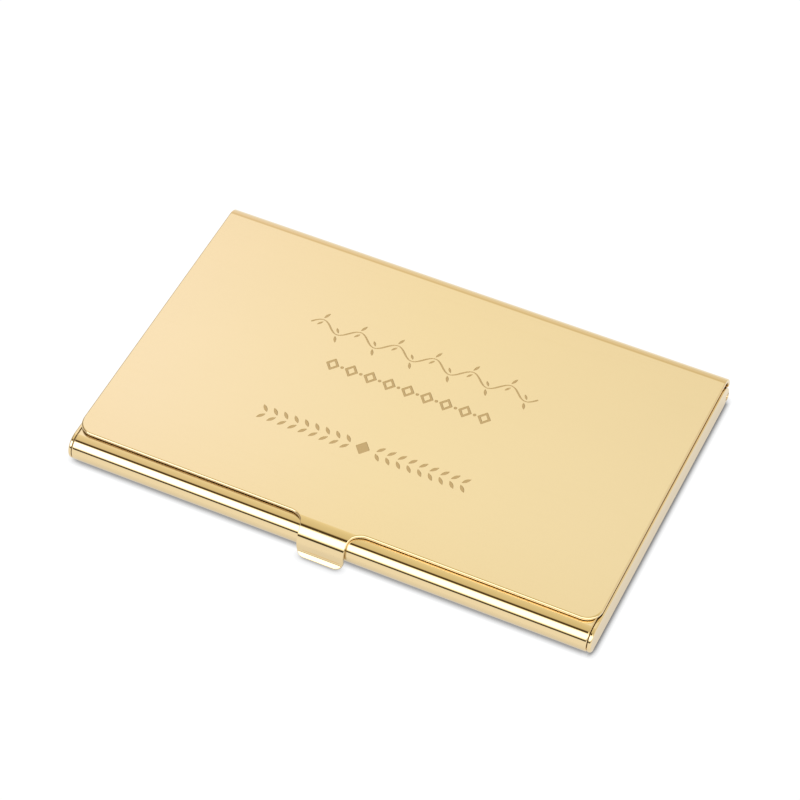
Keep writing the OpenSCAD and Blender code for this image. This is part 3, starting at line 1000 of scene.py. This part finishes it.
# painted contact shadow: the floor's glow is darkened by this ramp of ambient occlusion
SHADOW = [  # openness of the floor to the sky, then brightness
    (0.0, (0.1, 0.1, 0.1)), (0.36, (0.385, 0.38, 0.375)), (0.53, (0.625, 0.625, 0.625)),
    (0.75, (0.835, 0.835, 0.84)), (0.93, (0.935, 0.94, 0.945)), (1.0, (1.0, 1.0, 1.0)),
]
FLOOR_SEEN = 1.04  # brightness for the camera, and mirrored in the metal
FLOOR_MIRRORED = 0.93
FLOOR_HALF = 3.0  # metres


def openness(nt, reach, samples, x, y):
    n = new(nt, "ShaderNodeAmbientOcclusion", x, y, samples=samples)
    n.inputs["Distance"].default_value = reach * MM
    return n


def glow(nt, colour, strength, x, y):
    n = new(nt, "ShaderNodeEmission", x, y)
    n.inputs["Strength"].default_value = strength
    nt.links.new(colour, n.inputs["Color"])
    return n.outputs[0]


def floor_plane():
    """A pale floor that glows by itself, with a painted contact shadow under the case: its glow darkens by
    a ramp of ambient occlusion.
    """
    mesh = bpy.data.meshes.new("floor")
    h = FLOOR_HALF
    mesh.from_pydata([(-h, -h, 0), (h, -h, 0), (h, h, 0), (-h, h, 0)], [], [(0, 1, 2, 3)])
    obj = bpy.data.objects.new("floor", mesh)
    bpy.context.scene.collection.objects.link(obj)
    mat = bpy.data.materials.new("pale_floor_painted_shadow")
    nt = nodes_of(mat)
    near = openness(nt, SHADOW_REACH, 16, -900, 0).outputs["AO"]
    # the painted shadow is made deeper along the right wall than in front of the overhanging rail, by a
    # mask along X
    coord = new(nt, "ShaderNodeTexCoord", -1500, -500)
    xyz = new(nt, "ShaderNodeSeparateXYZ", -1300, -500)
    nt.links.new(coord.outputs["Object"], xyz.inputs[0])
    right = map_range(nt, xyz.outputs["X"], ((HALF_W - 1.0) * MM, HALF_W * MM), x=-1100, y=-500,
                      curve="SMOOTHSTEP")
    deeper = map_range(nt, near, (0.36, 1.0), x=-600, y=-200)
    sky = mix(nt, right, near, deeper, -450, 0, data_type="FLOAT")
    seen = glow(nt, ramp(nt, sky, SHADOW, -300, 0), FLOOR_SEEN, 300, 150)
    # as mirrored in the metal, the floor's glow gets a wider, gentler painted shade towards the case
    wide = openness(nt, WIDE_REACH, 8, -600, -700).outputs["Color"]
    dimmed = mix(nt, 0.4, (1, 1, 1, 1), wide, 0, -200, data_type="RGBA", blend_type="MULTIPLY")
    other = glow(nt, dimmed, FLOOR_MIRRORED, 300, -150)
    out = new(nt, "ShaderNodeOutputMaterial", 900, 0)
    nt.links.new(seen_or_not(nt, seen, other, 600, 0), out.inputs[0])
    mesh.materials.append(mat)
    return obj


floor_plane()

# ---------------------------------------------------------------- studio light
STUDIO = [  # degrees from straight up towards the front (-Y), then radiance
    (-180, (0.9, 0.9, 0.9)), (-120, (0.80, 0.80, 0.80)), (-101, (0.74, 0.73, 0.76)),
    (-86, (0.82, 0.785, 0.74)), (-73, (0.88, 0.81, 0.73)), (-62, (0.823, 0.735, 0.62)),
    (-52, (0.745, 0.66, 0.51)), (-44, (0.86, 0.78, 0.65)), (-41, (0.98, 0.965, 0.94)),
    (-38, (1.0, 1.0, 1.0)), (-36, (1.0, 1.0, 1.0)), (-31, (0.92, 0.85, 0.66)),
    (-23, (0.85, 0.78, 0.58)), (-15, (0.81, 0.74, 0.54)), (-7, (0.775, 0.71, 0.51)),
    (0, (0.76, 0.69, 0.49)), (12, (0.72, 0.64, 0.45)), (17, (0.12, 0.08, 0.03)),
    (22, (0.04, 0.025, 0.01)), (27, (0.12, 0.08, 0.03)), (33, (1.7, 1.7, 1.6)),
    (37, (2.15, 2.15, 2.4)), (66, (2.15, 2.15, 2.4)), (74, (1.3, 1.25, 1.1)),
    (80, (0.10, 0.08, 0.04)), (84.5, (0.03, 0.02, 0.01)), (88.5, (0.08, 0.07, 0.04)),
    (91, (0.9, 0.9, 0.9)), (180, (0.9, 0.9, 0.9)),
]
CARD = (12, 33)  # degrees between which the overhead dark card hangs
PEAK = 4.0  # radiance at a ramp value of 1
BACKDROP = 1.1


def studio_world():
    """Light that varies with the angle round the X axis, and a little from left to right."""
    world = bpy.data.worlds.new("studio")
    bpy.context.scene.world = world
    nt = nodes_of(world)
    link = nt.links.new
    coord = new(nt, "ShaderNodeTexCoord", -1400, 0)
    xyz = new(nt, "ShaderNodeSeparateXYZ", -1200, 0)
    link(coord.outputs["Generated"], xyz.inputs[0])
    neg = new(nt, "ShaderNodeMath", -1000, 0, operation="MULTIPLY")
    neg.inputs[1].default_value = -1
    link(xyz.outputs["Y"], neg.inputs[0])
    angle = new(nt, "ShaderNodeMath", -800, 0, operation="ARCTAN2")
    link(neg.outputs[0], angle.inputs[0])
    link(xyz.outputs["Z"], angle.inputs[1])
    unit = map_range(nt, angle.outputs[0], (-math.pi, math.pi), x=-600)

    def across(source, target=(0.0, 1.0), y=0, curve="LINEAR"):
        return map_range(nt, xyz.outputs["X"], source, target, -800, y, curve)

    def band(stops, y):
        return ramp(nt, unit, [((a + 180) / 360, [v / PEAK for v in c]) for a, c in stops], -400, y)

    # the card is short, so it only covers part of the ceiling
    card = new(nt, "ShaderNodeMath", -600, -600, operation="MULTIPLY")
    link(across((-0.62, -0.5), y=-500, curve="SMOOTHSTEP"), card.inputs[0])
    link(across((-0.06, -0.13), y=-750, curve="SMOOTHSTEP"), card.inputs[1])
    without = [stop for stop in STUDIO if stop[0] <= CARD[0] or stop[0] >= CARD[1]]
    ceiling = mix(nt, card.outputs[0], band(without, -200), band(STUDIO, 100), -100, 0, data_type="RGBA")
    # slightly cooler light from the left than from the right
    tint = mix(nt, across((-0.36, -0.28), y=-900), (1.0, 1.01, 1.10, 1), (1.0, 1.01, 0.97, 1),
               -350, -900, data_type="RGBA")
    lit = mix(nt, 1.0, ceiling, tint, 50, -200, data_type="RGBA", blend_type="MULTIPLY")
    # a dark flag low down on the far left, which outlines the left edge of the lid
    flag = across((-0.62, -0.72), (0.0, 0.92), -1150, "SMOOTHSTEP")
    shaded = mix(nt, flag, lit, (0.05, 0.04, 0.03, 1), 120, -400, data_type="RGBA")
    # a gentle fall-off from left to right
    bg = new(nt, "ShaderNodeBackground", 200, 0)
    link(shaded, bg.inputs["Color"])
    link(across((-0.45, -0.1), (PEAK * 1.10, PEAK * 0.89), 400), bg.inputs["Strength"])
    white = new(nt, "ShaderNodeBackground", 200, -200)
    white.inputs["Strength"].default_value = BACKDROP
    out = new(nt, "ShaderNodeOutputWorld", 750, 0)
    link(seen_or_not(nt, white.outputs[0], bg.outputs[0], 450, 0), out.inputs[0])


studio_world()

# ---------------------------------------------------------------- camera
AZIMUTH = math.radians(25.48)
ELEVATION = math.radians(48.97)
ROLL = math.radians(-0.06)
TARGET = Vector((-2.06, 4.20, 3.02)) * MM
DISTANCE = 506.9 * MM
back = Vector((math.sin(AZIMUTH) * math.cos(ELEVATION), -math.cos(AZIMUTH) * math.cos(ELEVATION),
               math.sin(ELEVATION)))
cam = bpy.data.cameras.new("camera")
cam.lens = 135.8
cam.sensor_width = 36
cam.clip_start = 0.01
cam.clip_end = 20
cam_obj = bpy.data.objects.new("camera", cam)
bpy.context.scene.collection.objects.link(cam_obj)
turn = back.to_track_quat("Z", "Y") @ Matrix.Rotation(ROLL, 3, "Z").to_quaternion()
cam_obj.matrix_world = Matrix.Translation(TARGET + back * DISTANCE) @ turn.to_matrix().to_4x4()
bpy.context.scene.camera = cam_obj
bpy.context.scene.view_settings.view_transform = "Standard"
